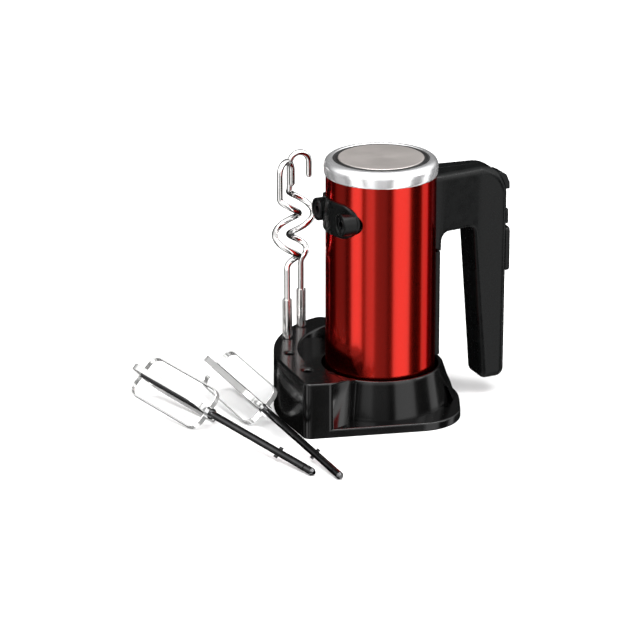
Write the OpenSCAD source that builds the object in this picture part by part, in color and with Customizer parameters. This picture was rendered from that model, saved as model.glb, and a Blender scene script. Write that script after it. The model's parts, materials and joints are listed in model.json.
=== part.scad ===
// Hand mixer stored upright in its stand, with two dough hooks and two strip beaters.
// Millimetres, +Z up. The origin is the cup's axis at the stand's underside.
// The mixer's handle points to +X and its two drive sockets to -X.

/* [Mixer body] */
// Outer radius of the lacquered sleeve
body_r = 40; // [39.8:0.1:40.2]
// Thickness of the sleeve's sheet
sleeve_t = 0.8; // [0.6:0.1:0.8]
// Height of the sleeve's top edge
sleeve_top = 178.5; // [178:0.5:179]
// Height of the end ring's top
ring_top = 191; // [190.5:0.5:192]
// Distance between the two drive sockets
socket_gap = 41.2; // [41:0.1:41.6]
// Height of the drive sockets' axes
socket_z = 150.6; // [150:0.2:151]

/* [Handle] */
// Outer face of the grip, from the body's axis
grip_x = 97; // [96.5:0.5:97.5]
// Half width of the arm where it meets the body
arm_half = 16.8; // [16:0.2:17]
// Half width of the grip
grip_half = 12.8; // [12.4:0.1:13]
// Wall of the handle's shells
handle_wall = 2.4; // [2:0.1:2.6]
// Radius of the elbow
elbow_r = 22; // [20:0.5:23]

/* [Stand] */
// Height of the cup's rim
rim_z = 35; // [34:0.5:35.5]
// Outer radius of the cup's rim
rim_r = 45.3; // [45:0.1:46]
// Height of the flange around the cup
flange_h = 6.5; // [6:0.1:7]
// Outer radius of the tower's arc
tower_r = 78; // [77.5:0.5:78.5]
// Wall of the moulding
stand_wall = 2.6; // [2.4:0.1:2.8]
// Radius of the four storage holes
hole_r = 3.2; // [3.1:0.1:3.4]

/* [Tools] */
// Radius of a hook's or beater's shank
shank_r = 2.7; // [2.6:0.05:2.7]
// Length of a beater
beater_len = 200; // [195:1:203]
// Length of a beater's cage
cage_len = 80; // [76:1:82]
// Radius of a beater's cage
cage_r = 17; // [16:0.5:17.5]
// Radius of a dough hook's coil
coil_r = 9; // [8:0.5:9.5]

/* [Hidden] */

$fn = 96;
eps = 0.05;
beyond = 300;

black = "#1a1b1b";
red = "#a8161c";
chrome = "#dcdcdc";
steel = "#b7b0ac";
white_plastic = "#d8d6cc";
copper = "#b0662d";
bronze = "#a07a4a";
carbon = "#303030";

// Stand, seen from above: the front edge leans back towards the tower's corner.
base_r = 58.6;
front_outline = [[-78, 0, 0], [-78, -42, 7], [33.9, -68, 34], [53.6, -23.9, 0]];
tower_front = [[-78, -1, 0], [-78, -42, 7], [-60, -46.2, 5], [-43, -40.5, 0]];
tower_front_angle = 204;
tower_toe = [-33.7, -30.3];
tower_toe_turn = [0, 20.9, 6.8];
tower_toe_reach = 6.3;
tower_in_r = 59;
tower_end_angle = 105;
tower_end_r = (tower_r - tower_in_r) / 2;
tower_low_z = 42;
tower_slope = 2.6;
tower_front_y = -45;
cup_foot_r = 50;
cup_floor_z = 6;
cup_floor_t = 2;
cover_z = [0.4, 2.8];
cover_gap = 0.3;
pad_top = 7;
hook_holes = [[-54.5, 44.5], [-35.5, 62.5]];
beater_holes = [[-65, 16.5], [-66, -18]];
hole_floor_z = 7.5;
boss_r = 5.4;
stand_screw_at = [[-66, -35], [24, -53.5], [37, 37], [-46, 54]];
stand_feet_at = [[-67, -20], [8, -52.7], [46, 17], [-24, 64.5]];
foot_r = 6;
foot_top = 1.6;

// Mixer
cap_z = 7.3;
sleeve_z = 10;
sleeve_in = body_r - sleeve_t;
frame_r = 38.6;
socket_y = socket_gap / 2;
collar_r = 8.4;
collar_in = 6.6;
collar_x = -42;
column_r = 36.2;
column_rod = 2.2;
post_r = 32;

// Drive train
shaft_r = 2.5;
bush_r = 7;
nose_bush_r = 5.5;
running = 0.05;
worm_in = 3.9;
worm_out = 5.9;
worm_len = 18;
wheel_teeth = 24;
wheel_pitch_r = 15.6;
wheel_tip_r = 16.4;
wheel_root_r = 14.3;
wheel_half = 4;
worm_lead = 2 * PI * wheel_pitch_r / wheel_teeth;
spindle_r = 4.6;
spindle_head_r = 6.2;
spindle_x = [-41, 18];
socket_bore_r = 2.78;
socket_floor_x = -3;
pin_bore_r = 2.5;
pin_r = 2.1;

// Handle and controls
arm_top = 176.8;
arm_low = 132;
root_low = 118;
root_x = 42.2;
grip_low = 12;
handle_outline = [
    [28, root_low, 0], [root_x, root_low, 0], [root_x, arm_low, 6], [68.5, arm_low, 4],
    [76.5, grip_low, 6], [grip_x, grip_low, 7], [grip_x, arm_top, elbow_r], [28, arm_top, 0]
];
handle_plan = [
    [28, -arm_half, 0], [40, -arm_half, 3], [74, -grip_half, 16], [104, -grip_half + 0.7, 0],
    [104, grip_half - 0.7, 0], [74, grip_half, 16], [40, arm_half, 3], [28, arm_half, 0]
];
handle_screw_at = [[58, 142], [86, 147], [85, 84], [84, 30]];
eject_z = [156, 169.5];
eject_half = 7.5;
eject_back = 86;
rod_z = [154, 160];
turbo_z = [128.5, 140];
turbo_half = 5;
slider_z = 108.6;
bezel_z = [93, 126.6];
bezel_half = 8;
gland_x = 86;
gap = 0.35;

// Tools
sleeve_low = 47.6;
sleeve_high = 76;
insertion = 38;
coil_z = [97.5, 153.5];
coil_pitch = 33;
hook_headings = [-148.5, 180];
arch_r = 7.75;
arch_z = 173.7;
arch_end_z = 163.5;
rod_r = 2.2;
strip_w = 4.6;
strip_t = 1;
beater_left_at = [-100.7, -108.2];
beater_left_heading = 105.7;
beater_right_at = [-86.5, -122.8];
beater_right_heading = 93.5;
cage_low_s = beater_len - cage_len + 10;
cage_reach = cage_r * sin(45) + strip_w / 2 * sin(45);
beater_tilt = asin((cage_reach - shank_r) / cage_low_s);
beater_lift = 0.15;

// ---- Outlines ------------------------------------------------------------

function unit(v) = v / norm(v);
function turn_left(v) = [-v[1], v[0]];

// Corners [x, y, radius] moved inwards by d, for an outline that runs anticlockwise
function inset_corners(p, d) = [
    for (i = [0 : len(p) - 1])
        let (a = p[(i + len(p) - 1) % len(p)], b = p[i], c = p[(i + 1) % len(p)])
        let (n1 = turn_left(unit([b[0] - a[0], b[1] - a[1]])))
        let (n2 = turn_left(unit([c[0] - b[0], c[1] - b[1]])))
        let (m = (n1 + n2) / (1 + n1 * n2) * d)
        let (bend = n1[0] * n2[1] - n1[1] * n2[0])
        [b[0] + m[0], b[1] + m[1], b[2] == 0 ? 0 : max(0.5, b[2] - sign(bend) * d)]
];

// The same corners as points, each corner rounded to its own radius
function rounded(p) = [
    for (i = [0 : len(p) - 1])
        let (a = p[(i + len(p) - 1) % len(p)], b = p[i], c = p[(i + 1) % len(p)])
        let (u = unit([a[0] - b[0], a[1] - b[1]]), v = unit([c[0] - b[0], c[1] - b[1]]))
        let (half = acos(u * v) / 2, r = b[2])
        let (side = sign(u[0] * v[1] - u[1] * v[0]))
        let (back = r / tan(half), centre = [b[0], b[1]] + unit(u + v) * r / sin(half))
        let (steps = r == 0 ? 0 : max(4, ceil(r * (180 - 2 * half) / 90)))
        for (k = [0 : steps])
            r == 0 ? [b[0], b[1]] : centre + turned(
                [b[0], b[1]] + u * back - centre, -side * (180 - 2 * half) * k / steps)
];

function turned(v, a) = [v[0] * cos(a) - v[1] * sin(a), v[0] * sin(a) + v[1] * cos(a)];

module outline(corners, inset = 0) {
    polygon(rounded(inset_corners(corners, inset)));
}

module rounded_box(size, r) {
    w = size[0] / 2;
    h = size[1] / 2;
    polygon(rounded([[-w, -h, r], [w, -h, r], [w, h, r], [-w, h, r]]));
}

// A shape drawn in X and Z, given a thickness along Y and centred on it
module along_y(width) {
    rotate([90, 0, 0]) linear_extrude(width, center = true) children();
}

// A shape drawn in Y and Z, raised from x0 towards +X
module along_x(x0, length) {
    translate([x0, 0, 0]) rotate([90, 0, 90]) linear_extrude(length) children();
}

module rod_x(r, x0, x1) {
    translate([x0, 0, 0]) rotate([0, 90, 0]) cylinder(r = r, h = x1 - x0);
}

module tube(r_out, r_in, z0, z1) {
    translate([0, 0, z0]) difference() {
        cylinder(r = r_out, h = z1 - z0);
        translate([0, 0, -eps]) cylinder(r = r_in, h = z1 - z0 + 2 * eps);
    }
}

module at_each(places) {
    for (p = places) translate([p[0], p[1], 0]) children();
}

// ---- Stand ---------------------------------------------------------------

function arc(r, from, to, step) =
    let (n = max(1, ceil(abs(to - from) / step)))
    [for (i = [0 : n]) let (a = from + (to - from) * i / n) [r * cos(a), r * sin(a)]];

module footprint(inset = 0) {
    polygon(concat(
        rounded(inset_corners(front_outline, inset)),
        arc(base_r - inset, -20, 180, 6)
    ));
    tower_plan(inset);
}

// The tower's back end is a half circle between its inner and outer arcs.
function tower_end(inset) = [
    for (q = arc(tower_end_r - inset, tower_end_angle - 180, tower_end_angle - 5, 15))
        q + (tower_r - tower_end_r) * [cos(tower_end_angle), sin(tower_end_angle)]
];

function tower_outside(inset) = concat(
    tower_end(inset),
    arc(tower_r - inset, tower_end_angle, 180, 5),
    rounded(inset_corners(tower_front, inset))
);

module tower_plan(inset = 0) {
    polygon(concat(tower_outside(inset), [[0, 0]]));
}

module tower_top_plan(inset = 0) {
    polygon(concat(
        tower_outside(inset),
        [tower_toe + unit(tower_toe) * (inset - 1)],
        arc(tower_in_r + inset, tower_front_angle - inset, tower_end_angle, 5)
    ));
}

module cup_outside() {
    rotate_extrude() polygon([
        [0, cover_z[1]], [cup_foot_r + 0.4, cover_z[1]], [cup_foot_r, flange_h],
        [rim_r + 0.2, rim_z - 1.6], [rim_r - 0.3, rim_z - 0.4], [rim_r - 1, rim_z + 0.1],
        [0, rim_z + 0.1]
    ]);
}

module skirt(inset = 0) {
    rotate([0, 0, -48]) rotate_extrude(angle = 155) polygon([
        [rim_r - 3.8, 3.5], [57 - inset, 3.5], [57 - inset, flange_h - inset / 2],
        [54.8 - inset, 10], [52.8 - inset, 16], [50 - inset, 22.5], [48 - inset, 28.5],
        [46.4 - inset, 33 - inset], [rim_r - 3.8, 33 - inset]
    ]);
}

module tower_block(inset, z0) {
    difference() {
        translate([0, 0, z0]) linear_extrude(30) tower_top_plan(inset);
        translate([0, tower_front_y, tower_low_z - inset]) rotate([tower_slope, 0, 0])
            translate([-beyond / 2, -beyond / 2, 0]) cube([beyond, beyond, beyond / 4]);
        // The top runs down to the cup's rim at the front
        translate([tower_toe[0], tower_toe[1], rim_z + 0.2 - inset]) rotate(tower_toe_turn)
            translate([-beyond / 2, -beyond / 2, 0])
                cube([beyond, beyond / 2 + tower_toe_reach, beyond / 4]);
    }
}

module stand_outside() {
    linear_extrude(flange_h) footprint();
    skirt();
    linear_extrude(rim_z) tower_plan();
    tower_block(0, rim_z - 5);
}

module stand_hollow() {
    difference() {
        stand_outside();
        translate([0, 0, -1]) linear_extrude(flange_h + 1 - stand_wall) footprint(stand_wall);
        translate([0, 0, 2]) linear_extrude(rim_z - 2 - stand_wall) tower_plan(stand_wall);
        skirt(stand_wall);
        tower_block(stand_wall, rim_z - 6);
    }
}

module stand_housing() {
    color(black) difference() {
        union() {
            stand_hollow();
            cup_outside();
            intersection() {
                union() {
                    translate([0, 0, cover_z[1]]) at_each(concat(hook_holes, beater_holes))
                        cylinder(r = boss_r, h = beyond / 4);
                    translate([0, 0, cover_z[1]]) at_each(stand_screw_at)
                        cylinder(r = 3.2, h = beyond / 4);
                }
                stand_outside();
            }
        }
        // Space below the cup's floor
        translate([0, 0, -1]) cylinder(r = cup_foot_r - 4, h = cup_floor_z - cup_floor_t + 1);
        cup_inside();
        translate([0, 0, hole_floor_z]) at_each(concat(hook_holes, beater_holes))
            cylinder(r = hole_r, h = beyond / 4);
        at_each(stand_screw_at) cylinder(r = 1.45, h = flange_h - 0.9);
    }
}

// The cup is tapered, and six ribs centre the mixer in it.
module cup_inside() {
    rib_r = body_r + 1;
    difference() {
        rotate_extrude() polygon([
            [0, cup_floor_z], [cup_foot_r - stand_wall, cup_floor_z],
            [rim_r - stand_wall, rim_z - 1], [rim_r - stand_wall + 0.8, rim_z + 0.2],
            [0, rim_z + 0.2]
        ]);
        for (a = [30 : 60 : 330]) rotate(a)
            translate([rib_r, -1, cup_floor_z - eps]) cube([10, 2, rim_z - cup_floor_z - 4]);
    }
}

module stand_bottom_cover() {
    color(black) difference() {
        translate([0, 0, cover_z[0]]) linear_extrude(cover_z[1] - cover_z[0])
            footprint(stand_wall + 0.1);
        at_each(stand_screw_at) {
            cylinder(r = 1.7, h = 5);
            cylinder(r = 3.1, h = cover_z[0] + 1.7);
        }
        at_each(stand_feet_at) cylinder(r = foot_r + 0.1, h = foot_top);
    }
}

module screw(length, head_r = 2.8, head_h = 1.5, core_r = 1.4) {
    difference() {
        union() {
            cylinder(r = head_r, h = head_h);
            cylinder(r = core_r, h = length);
        }
        for (a = [0, 90]) rotate(a) translate([-1.5, -0.3, -eps]) cube([3, 0.6, 0.9]);
    }
}

module stand_screws() {
    color(steel) at_each(stand_screw_at) translate([0, 0, cover_z[0] + 0.2]) screw(4.7);
}

module stand_feet() {
    color(carbon) at_each(stand_feet_at) cylinder(r = foot_r, h = foot_top);
}

module cup_pad() {
    color(carbon) tube(body_r - 1, 20, cup_floor_z, pad_top);
}

// ---- Mixer body ----------------------------------------------------------

module at_sockets() {
    for (s = [-1, 1]) translate([0, s * socket_y, socket_z]) children();
}

module body_sleeve() {
    color(red) difference() {
        tube(body_r, sleeve_in, sleeve_z, sleeve_top);
        at_sockets() rod_x(collar_r + 0.1, -beyond, 0);
        along_x(0, beyond) translate([0, 155]) rounded_box([24, 32], 4);
    }
}

module top_ring() {
    color(chrome) rotate_extrude() polygon(concat(
        [[36, 172.5], [sleeve_in - 0.1, 172.5], [sleeve_in - 0.1, sleeve_top],
         [body_r + 0.3, sleeve_top], [body_r + 1, sleeve_top + 1.2]],
        [for (a = [0 : 12 : 90]) [36 + 5.4 * cos(a), 184 + 6.8 * sin(a) + 0.2 * sin(2 * a)]],
        [[34.9, ring_top - 0.6], [34.8, 186], [29, 186], [29, 184], [36, 184]]
    ));
}

module disc_gasket() {
    color(carbon) rotate_extrude() polygon([
        [31.25, 186], [34.7, 186], [34.7, 190.1], [33.6, 190.1], [33.2, 189.2], [32.2, 189.2],
        [31.8, 190.4], [31.25, 190.4]
    ]);
}

module top_disc() {
    color(steel) rotate_extrude() polygon([
        [0, 186.8], [28.9, 186.8], [28.9, 186], [31.2, 186], [31.2, 190.2], [30.6, 190.8],
        [0, 190.8]
    ]);
}

module rear_cap() {
    color(black) difference() {
        union() {
            translate([0, 0, cap_z]) cylinder(r1 = body_r - 0.8, r2 = body_r, h = 1);
            translate([0, 0, cap_z + 1]) cylinder(r = body_r, h = sleeve_z - cap_z - 1);
            tube(sleeve_in - 0.1, 36.8, sleeve_z, 18);
        }
        // Air slots
        for (a = [0 : 15 : 345]) rotate(a)
            translate([14, -1.1, cap_z - 1]) cube([11, 2.2, 6]);
        rear_cap_screw_places() {
            translate([0, 0, cap_z - 1]) cylinder(r = 3.1, h = 2.7);
            translate([0, 0, cap_z - 1]) cylinder(r = 1.7, h = 6);
        }
    }
}

module rear_cap_screw_places() {
    for (a = [45 : 90 : 315]) rotate(a) translate([post_r, 0, 0]) children();
}

module rear_cap_screws() {
    color(steel) rear_cap_screw_places() translate([0, 0, cap_z + 0.15]) screw(12);
}

module socket_plate() {
    color(black) {
        difference() {
            union() {
                intersection() {
                    tube(body_r + 2, body_r + 0.02, 130, 170);
                    along_x(-60, 60) translate([0, (138.5 + 164) / 2])
                        rounded_box([55, 25.5], 12.7);
                }
                at_sockets() rod_x(collar_r, collar_x, -30);
            }
            at_sockets() rod_x(collar_in, collar_x - 1, 0);
        }
    }
}

module back_spine() {
    color(black) difference() {
        translate([0, 0, 38]) linear_extrude(root_low - 38 - 0.1) polygon(rounded([
            [30, -14, 0], [41.8, -14, 1.5], [42.2, 0, 0], [41.8, 14, 1.5], [30, 14, 0]
        ]));
        cylinder(r = body_r + 0.02, h = beyond);
    }
}

// ---- Handle --------------------------------------------------------------

module handle_solid(inset = 0) {
    intersection() {
        along_y(60) outline(handle_outline, inset);
        linear_extrude(beyond) outline(handle_plan, inset);
    }
}

module handle_cavity() {
    handle_solid(handle_wall);
    // The arm is open towards the body
    translate([20, -arm_half + handle_wall + 1, arm_low + handle_wall + 1])
        cube([25, 2 * (arm_half - handle_wall - 1), arm_top - arm_low - 2 * handle_wall - 2]);
}

module control_openings() {
    translate([80, -eject_half - gap, eject_z[0] - gap])
        cube([40, 2 * (eject_half + gap), eject_z[1] - eject_z[0] + 2 * gap]);
    translate([90, -turbo_half - gap, turbo_z[0] - gap])
        cube([20, 2 * (turbo_half + gap), turbo_z[1] - turbo_z[0] + 2 * gap]);
    translate([90, -2.4, slider_z - 11]) cube([20, 4.8, 22]);
    translate([gland_x, 0, 0]) cylinder(r = 6.05, h = 20);
}

module at_handle_screws() {
    for (p = handle_screw_at) translate([p[0], 0, p[1]]) rotate([90, 0, 0]) children();
}

module handle_posts() {
    intersection() {
        handle_solid(handle_wall - eps);
        union() {
            at_handle_screws() cylinder(r = 3.4, h = 60, center = true);
            // Stop for the eject button's spring
            translate([75, -6, 161]) cube([2, 12, 20]);
        }
    }
}

module handle_shell(side) {
    color(black) difference() {
        intersection() {
            union() {
                difference() {
                    handle_solid();
                    handle_cavity();
                }
                handle_posts();
            }
            translate([0, side > 0 ? 0 : -beyond, 0]) cube([beyond, beyond, beyond]);
        }
        cylinder(r = body_r + 0.02, h = beyond);
        control_openings();
        // Screw holes, sunk from the +Y side
        at_handle_screws() {
            cylinder(r = 1.45, h = 20, center = true);
            translate([0, 0, -30]) cylinder(r = 3.1, h = 22);
        }
    }
}

module handle_left_shell() { handle_shell(1); }
module handle_right_shell() { handle_shell(-1); }

module handle_screws() {
    color(steel) at_handle_screws() translate([0, 0, -9.6]) screw(19);
}

module speed_bezel() {
    color(black) difference() {
        translate([grip_x, 0, (bezel_z[0] + bezel_z[1]) / 2]) rotate([0, 90, 0])
            linear_extrude(4) rounded_box([bezel_z[1] - bezel_z[0], 2 * bezel_half], 3);
        translate([grip_x - 1, -5, slider_z - 13.6]) cube([10, 10, 27.2]);
    }
}

module cable_gland() {
    color(carbon) difference() {
        translate([gland_x, 0, grip_low]) cylinder(r = 6, h = 10);
        translate([gland_x, 0, 0]) cylinder(r = 3.4, h = 40);
    }
}

// ---- Motor and gearbox, fixed parts --------------------------------------

module motor_frame() {
    color(white_plastic) difference() {
        union() {
            // Lower bridge with its bearing boss
            translate([0, 0, 26]) linear_extrude(5) intersection() {
                circle(r = frame_r);
                for (a = [45, 135]) rotate(a) square([100, 12], center = true);
            }
            translate([0, 0, 26]) cylinder(r = 10, h = 8);
            rear_cap_screw_places() translate([0, 0, sleeve_z + 0.2]) cylinder(r = 3.4, h = 17);
            for (a = [45 : 90 : 315]) rotate(a) {
                translate([column_r, 0, 30]) cylinder(r = column_rod, h = 87);
                // Lugs that hold the stator
                for (z = [54, 94.2]) translate([31, -3, z]) cube([5, 6, 3.8]);
            }
            // Deck with the upper bearing boss
            translate([0, 0, 116]) cylinder(r = frame_r, h = 4);
            translate([0, 0, 120]) cylinder(r = 10, h = 9);
            // Walls that carry the spindle bushes
            translate([-22, -30.5, 119]) cube([6, 61, 52]);
            translate([10, -33, 119]) cube([6, 66, 52]);
        }
        translate([0, 0, 20]) cylinder(r = 4, h = beyond);
        translate([0, 0, 28]) cylinder(r = bush_r + 0.02, h = 20);
        translate([0, 0, 122]) cylinder(r = bush_r + 0.02, h = 20);
        at_sockets() rod_x(bush_r + 0.02, -30, 30);
        rear_cap_screw_places() cylinder(r = 1.45, h = 24);
        // Air windows in the deck
        for (a = [0 : 45 : 315]) rotate(a + 22.5)
            translate([26, 0, 110]) cylinder(r = 5, h = 9.9);
    }
}

module gearbox_cover() {
    color(white_plastic) difference() {
        union() {
            translate([0, 0, 171.02]) cylinder(r = 35.5, h = 3);
            translate([0, 0, 162]) cylinder(r = 8, h = 10);
        }
        translate([0, 0, 161]) cylinder(r = nose_bush_r + 0.02, h = 7.5);
    }
}

module shaft_bearings() {
    color(bronze) {
        tube(bush_r, shaft_r + running, 28, 34);
        tube(bush_r, shaft_r + running, 122, 128);
        tube(nose_bush_r, shaft_r + running, 162.5, 168.5);
    }
}

module spindle_bushes() {
    color(bronze) at_sockets() for (x = [-22, 10]) difference() {
        rod_x(bush_r, x, x + 6);
        rod_x(spindle_r + running, x - 1, x + 7);
    }
}

module stator_core() {
    color(steel) translate([0, 0, 58]) linear_extrude(36) difference() {
        intersection() {
            circle(r = 33);
            square([66, 56], center = true);
        }
        circle(r = 15.6);
        for (x = [-1, 1], y = [-1, 1]) translate([x * 12.7, y * 21.2])
            square([15, 7.4], center = true);
    }
}

module field_coils() {
    color(copper) for (a = [0, 180]) rotate(a) {
        for (y = [-24.5, 18]) translate([6, y, 52]) cube([13.5, 6.5, 48]);
        for (z = [52, 94.5]) translate([15, -24.5, z]) cube([4.5, 49, 5.5]);
    }
}

module brush_holders() {
    color(bronze) for (s = [-1, 1]) difference() {
        translate([-4.5, s > 0 ? 10.5 : -26.5, 38.5]) cube([9, 16, 9]);
        translate([-3.05, s > 0 ? 9 : -25, 39.95]) cube([6.1, 16, 6.1]);
    }
}

module carbon_brushes() {
    color(carbon) for (s = [-1, 1])
        translate([-3, s > 0 ? 9.4 : -18.4, 40]) cube([6, 9, 6]);
}

module brush_springs() {
    color(steel) for (s = [-1, 1]) rotate(s > 0 ? 0 : 180) translate([0, 18.5, 43])
        rotate([-90, 0, 0]) coil_spring(2, 0.4, 6.3, 4);
}

module speed_switch() {
    color(carbon) translate([78, -6, 92]) cube([12, 12, 33]);
}

module turbo_switch() {
    color(carbon) translate([77, -5, 129]) cube([8, 10, 10]);
}

// ---- Coils and other swept shapes ----------------------------------------

function tangents(p) = [
    for (i = [0 : len(p) - 1])
        unit(p[min(i + 1, len(p) - 1)] - p[max(i - 1, 0)])
];

// Normals carried along the path so that the section doesn't twist
function carried(t, i, n) =
    i == len(t) ? [] :
    let (m = unit(n - (n * t[i]) * t[i])) concat([m], carried(t, i + 1, m));

module sweep(path, r, sides) {
    t = tangents(path);
    first = abs(t[0][0]) < 0.9 ? [1, 0, 0] : [0, 1, 0];
    n = carried(t, 0, first);
    last = len(path) - 1;
    points = [
        for (i = [0 : last], k = [0 : sides - 1])
            path[i] + r * (cos(360 * k / sides) * n[i] + sin(360 * k / sides) * cross(t[i], n[i]))
    ];
    walls = [
        for (i = [0 : last - 1], k = [0 : sides - 1])
            let (a = i * sides + k, b = i * sides + (k + 1) % sides)
            [b, a, a + sides, b + sides]
    ];
    ends = [
        [for (k = [0 : sides - 1]) k],
        [for (k = [sides - 1 : -1 : 0]) last * sides + k]
    ];
    polyhedron(points, concat(walls, ends));
}

module coil_spring(r, wire, length, turns) {
    steps = 12;
    sweep([
        for (i = [0 : turns * steps])
            let (a = 360 * i / steps)
            [r * cos(a), r * sin(a), wire + (length - 2 * wire) * i / (turns * steps)]
    ], wire, 6);
}

module eject_spring() {
    color(steel) translate([77.05, 0, 164]) rotate([0, 90, 0]) coil_spring(2.8, 0.35, 8.9, 5);
}

module turbo_spring() {
    color(steel) translate([85.05, 0, 134.2]) rotate([0, 90, 0]) coil_spring(2.5, 0.3, 4.9, 3);
}

// ---- Armature ------------------------------------------------------------

module motor_shaft() {
    color(steel) translate([0, 0, 24]) cylinder(r = shaft_r, h = 144);
}

// One right-hand thread, whose ridge faces +X at the sockets' height
module worm() {
    function thread_r(a) = let (b = abs(a)) b < 35 ? worm_out :
        b > 79 ? worm_in : worm_out - (worm_out - worm_in) * (b - 35) / 44;
    color(steel) translate([0, 0, socket_z - worm_len / 2]) difference() {
        rotate(-360 * worm_len / 2 / worm_lead)
            linear_extrude(
                worm_len, twist = -360 * worm_len / worm_lead, slices = 54, $fn = 24
            )
                polygon([for (a = [-165 : 15 : 180]) thread_r(a) * [cos(a), sin(a)]]);
        translate([0, 0, -1]) cylinder(r = shaft_r + 0.01, h = worm_len + 2);
    }
}

module armature_core() {
    color(steel) translate([0, 0, 56]) linear_extrude(40) difference() {
        circle(r = 15);
        circle(r = shaft_r + 0.01);
        for (a = [0 : 30 : 330]) rotate(a) translate([9, -1.4]) square([7, 2.8]);
    }
}

module armature_winding() {
    color(copper) for (z = [[50.5, 56], [96, 101.5]]) tube(13.2, shaft_r + 0.01, z[0], z[1]);
}

module commutator() {
    color(copper) translate([0, 0, 36]) linear_extrude(14) difference() {
        circle(r = 9);
        circle(r = shaft_r + 0.01);
        for (a = [0 : 30 : 330]) rotate(a) translate([7.6, -0.25]) square([3, 0.5]);
    }
}

module cooling_fan() {
    color(white_plastic) difference() {
        union() {
            translate([0, 0, 106]) cylinder(r = 26, h = 1.6);
            translate([0, 0, 106]) cylinder(r = 6, h = 8);
            for (a = [0 : 36 : 324]) rotate(a) translate([5, -0.8, 107]) cube([20.5, 1.6, 7]);
        }
        translate([0, 0, 100]) cylinder(r = shaft_r + 0.01, h = 20);
    }
}

// ---- Drive spindles ------------------------------------------------------

module drive_spindle(side) {
    color(steel) translate([0, side * socket_y, socket_z]) difference() {
        union() {
            rod_x(spindle_head_r, spindle_x[0], -31);
            rod_x(spindle_r, -32, spindle_x[1]);
        }
        rod_x(socket_bore_r, -60, socket_floor_x);
        rod_x(pin_bore_r, -60, 60);
        // Slots for the shank's drive fins
        translate([spindle_x[0] - 1, -0.7, -4.6]) cube([7, 1.4, 9.2]);
    }
}

module drive_spindle_left() { drive_spindle(1); }
module drive_spindle_right() { drive_spindle(-1); }

module worm_wheel(side) {
    step = 360 / wheel_teeth;
    color(white_plastic) translate([-wheel_half, side * socket_y, socket_z])
        rotate([0, 90, 0]) linear_extrude(2 * wheel_half) difference() {
            union() {
                circle(r = wheel_root_r);
                for (i = [0 : wheel_teeth - 1]) rotate((i + 0.25) * step) polygon([
                    [wheel_root_r - 1, -0.9], [wheel_root_r, -0.85], [wheel_tip_r, -0.4],
                    [wheel_tip_r, 0.4], [wheel_root_r, 0.85], [wheel_root_r - 1, 0.9]
                ]);
            }
            circle(r = spindle_r + 0.01);
            for (a = [0 : 60 : 300]) rotate(a) translate([9.6, 0]) circle(r = 2.2);
        }
}

module worm_wheel_left() { worm_wheel(1); }
module worm_wheel_right() { worm_wheel(-1); }

// ---- Ejector, turbo button and speed slider ------------------------------

module eject_button() {
    color(black) along_y(2 * eject_half) polygon(rounded([
        [eject_back, eject_z[0], 0], [100.6, eject_z[0], 0.8], [100.4, 161, 4],
        [97.8, 167.2, 3], [93.4, eject_z[1], 1.5], [eject_back, eject_z[1], 0]
    ]));
}

module ejector_rod() {
    color(white_plastic) translate([28, -3, rod_z[0]])
        cube([eject_back - 28, 6, rod_z[1] - rod_z[0]]);
}

module ejector_yoke() {
    color(white_plastic) difference() {
        union() {
            translate([24, -25, 146]) cube([4, 50, 10]);
            translate([24, -4, 146]) cube([4, 8, rod_z[1] - 146]);
            at_sockets() rod_x(pin_r, socket_floor_x + 0.5, 25);
        }
        // The yoke clears the sleeve's wall
        tube(beyond, frame_r - 0.4, 0, beyond);
    }
}

module turbo_button() {
    color(black) {
        translate([90, 0, (turbo_z[0] + turbo_z[1]) / 2]) rotate([0, 90, 0])
            linear_extrude(10.8) rounded_box([turbo_z[1] - turbo_z[0], 2 * turbo_half], 1.5);
        translate([92, -6.2, turbo_z[0] - 1.4]) cube([2.2, 12.4, turbo_z[1] - turbo_z[0] + 2.8]);
    }
}

module speed_slider() {
    color(black) {
        translate([grip_x + 0.4, 0, slider_z]) rotate([0, 90, 0])
            linear_extrude(3.8) rounded_box([10, 9.2], 1.5);
        translate([grip_x + 4, -3.6, slider_z - 1.4]) cube([1.7, 7.2, 2.8]);
        translate([91, -2, slider_z - 2.5]) cube([6.5, 4, 5]);
    }
}

// ---- Dough hooks ---------------------------------------------------------

function ease(t) = let (u = max(0, min(1, t))) u * u * (3 - 2 * u);

// Coil, leg and arch. The leg stands on the local +X side of the shank.
function hook_path(hand) = concat(
    [[0, 0, sleeve_high - 1], [0, 0, (sleeve_high + coil_z[0]) / 2]],
    [for (i = [0 : 46])
        let (z = coil_z[0] + (coil_z[1] - coil_z[0]) * i / 46)
        let (a = hand * 360 * (coil_z[1] - z) / coil_pitch)
        let (r = coil_r * ease((z - coil_z[0]) / 14))
        [r * cos(a), r * sin(a), z]],
    [[coil_r, 0, coil_z[1] + 4], [coil_r, 0, arch_z - 5]],
    [for (a = [0 : 15 : 180]) [coil_r - arch_r + arch_r * cos(a), 0, arch_z + arch_r * sin(a)]],
    [[coil_r - 2 * arch_r, 0, arch_end_z]]
);

module hook_rod(place, hand, heading) {
    color(chrome) translate([place[0], place[1], 0]) rotate(heading) difference() {
        sweep(hook_path(hand), rod_r, 10);
        cylinder(r = 10, h = sleeve_high);
    }
}

module hook_shank(place, heading) {
    color(chrome) translate([place[0], place[1], 0]) rotate(heading) {
        translate([0, 0, sleeve_low - insertion]) cylinder(r1 = 1.6, r2 = shank_r, h = 2.5);
        translate([0, 0, sleeve_low - insertion + 2.5])
            cylinder(r = shank_r, h = insertion - 2.5);
        translate([0, 0, sleeve_low]) linear_extrude(sleeve_high - sleeve_low) {
            circle(r = 2.9);
            for (a = [0 : 45 : 135]) rotate(a) square([7.2, 1], center = true);
        }
    }
}

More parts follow.
